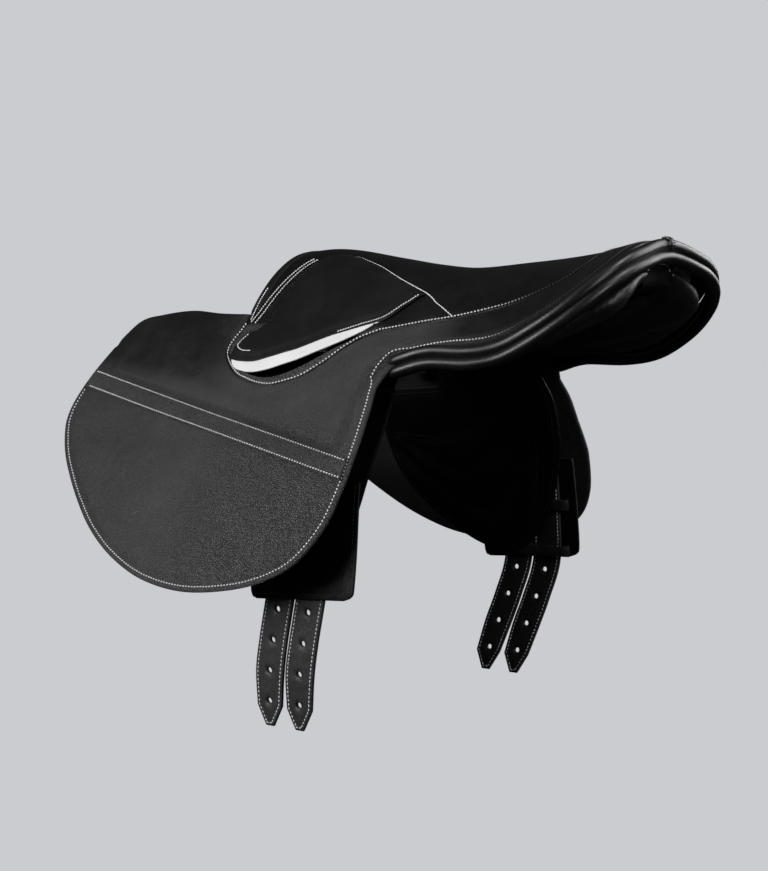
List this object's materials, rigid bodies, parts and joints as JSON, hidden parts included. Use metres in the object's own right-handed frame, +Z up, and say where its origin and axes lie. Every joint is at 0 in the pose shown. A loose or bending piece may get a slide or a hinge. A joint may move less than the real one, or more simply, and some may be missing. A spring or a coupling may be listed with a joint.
{
  "type": "english saddle",
  "caption": "Wide-flapped english saddle: leather seat on a tree with steel stirrup bars, hinged flaps and skirts, flocked panels and two girth straps a side.",
  "frame": {"origin": "on the middle plane, level with the bottom of the seat border at its waist, where the saddle sits down on the back", "axes": "+X forward to the pommel, +Y to the near (left) side, +Z up"},
  "size_m": [0.6428, 0.556, 0.489],
  "materials": {
    "seat_leather": "smooth grain, soft sheen",
    "welt_leather": "smooth, polished",
    "flap_leather": "pebbled grain, satin",
    "strap_leather": "smooth grain, satin",
    "lining_leather": "fine grain, matt",
    "accent_leather": "smooth, satin",
    "webbing": "woven nylon webbing",
    "foam": "closed-cell foam",
    "beech": "laminated beech, varnished",
    "steel": "forged, satin",
    "rivet_metal": "satin"
  },
  "bodies": {
    "root": {"seat_cover": "seat_leather", "seat_rim_near": "seat_leather", "seat_rim_off": "seat_leather", "seat_foam": "foam", "seat_webs": "webbing", "border_welt": "welt_leather", "border_roll": "welt_leather", "cantle_tab": "seat_leather", "pommel_facing": "seat_leather", "tree": "beech", "head_plate": "steel", "head_rivets": "rivet_metal", "spring_near": "steel", "spring_off": "steel", "gullet_lining": "lining_leather", "stirrup_bar_near": "steel", "bar_rivets_near": "rivet_metal", "catch_pin_near": "rivet_metal", "flap_upper_near": "flap_leather", "knee_pad_near": "foam", "pocket_lining_near": "lining_leather", "skirt_crown_near": "seat_leather", "panel_near": "lining_leather", "sweat_flap_near": "lining_leather", "girth_web_front_near": "webbing", "girth_web_rear_near": "webbing", "stirrup_bar_off": "steel", "bar_rivets_off": "rivet_metal", "catch_pin_off": "rivet_metal", "flap_upper_off": "flap_leather", "knee_pad_off": "foam", "pocket_lining_off": "lining_leather", "skirt_crown_off": "seat_leather", "panel_off": "lining_leather", "sweat_flap_off": "lining_leather", "girth_web_front_off": "webbing", "girth_web_rear_off": "webbing"},
    "flap_near": {"flap_lower_near": "flap_leather", "flap_band_near": "flap_leather"},
    "skirt_near": {"skirt_near": "seat_leather", "accent_strip_near": "accent_leather"},
    "bar_catch_near": {"bar_catch_near": "steel"},
    "billet_front_near": {"billet_front_near": "strap_leather"},
    "billet_rear_near": {"billet_rear_near": "strap_leather"},
    "buckle_guard_near": {"buckle_guard_near": "strap_leather"},
    "flap_off": {"flap_lower_off": "flap_leather", "flap_band_off": "flap_leather"},
    "skirt_off": {"skirt_off": "seat_leather", "accent_strip_off": "accent_leather"},
    "bar_catch_off": {"bar_catch_off": "steel"},
    "billet_front_off": {"billet_front_off": "strap_leather"},
    "billet_rear_off": {"billet_rear_off": "strap_leather"},
    "buckle_guard_off": {"buckle_guard_off": "strap_leather"}
  },
  "joints": [
    {"name": "flap_lift_near", "type": "hinge", "parent": "root", "child": "flap_near", "pos_m": [-0.006, 0.2222, -0.0992], "axis": [0.9724, -0.1282, 0.195], "range_deg": [0, 85]},
    {"name": "skirt_lift_near", "type": "hinge", "parent": "root", "child": "skirt_near", "pos_m": [0.11, 0.1187, 0.0389], "axis": [1, 0, 0], "range_deg": [0, 50]},
    {"name": "bar_catch_turn_near", "type": "hinge", "parent": "root", "child": "bar_catch_near", "pos_m": [0.115, 0.138, 0.01], "axis": [0, 0.7433, 0.669], "range_deg": [0, 75]},
    {"name": "billet_front_swing_near", "type": "hinge", "parent": "root", "child": "billet_front_near", "pos_m": [0.0807, 0.1868, -0.112], "axis": [0, 0.9941, 0.1089], "range_deg": [-8, 8]},
    {"name": "billet_rear_swing_near", "type": "hinge", "parent": "root", "child": "billet_rear_near", "pos_m": [0.0422, 0.1868, -0.112], "axis": [0, 0.9941, 0.1089], "range_deg": [-8, 8]},
    {"name": "guard_slide_near", "type": "slide", "parent": "billet_front_near", "child": "buckle_guard_near", "axis": [-0.131, -0.1168, 0.9845], "range_m": [0, 0.03]},
    {"name": "flap_lift_off", "type": "hinge", "parent": "root", "child": "flap_off", "pos_m": [-0.006, -0.2222, -0.0992], "axis": [-0.9724, -0.1282, -0.195], "range_deg": [0, 85]},
    {"name": "skirt_lift_off", "type": "hinge", "parent": "root", "child": "skirt_off", "pos_m": [0.11, -0.1187, 0.0389], "axis": [-1, 0, 0], "range_deg": [0, 50]},
    {"name": "bar_catch_turn_off", "type": "hinge", "parent": "root", "child": "bar_catch_off", "pos_m": [0.115, -0.138, 0.01], "axis": [0, 0.7433, -0.669], "range_deg": [0, 75]},
    {"name": "billet_front_swing_off", "type": "hinge", "parent": "root", "child": "billet_front_off", "pos_m": [0.07425, -0.1868, -0.112], "axis": [0, -0.9941, 0.1089], "range_deg": [-8, 8]},
    {"name": "billet_rear_swing_off", "type": "hinge", "parent": "root", "child": "billet_rear_off", "pos_m": [0.03575, -0.1868, -0.112], "axis": [0, -0.9941, 0.1089], "range_deg": [-8, 8]},
    {"name": "guard_slide_off", "type": "slide", "parent": "billet_front_off", "child": "buckle_guard_off", "axis": [-0.0252, 0.1178, 0.9927], "range_m": [0, 0.03]}
  ],
  "couplings": [
    {"joint": "billet_rear_swing_near", "follows": "billet_front_swing_near", "ratio": 1},
    {"joint": "billet_rear_swing_off", "follows": "billet_front_swing_off", "ratio": 1}
  ]
}
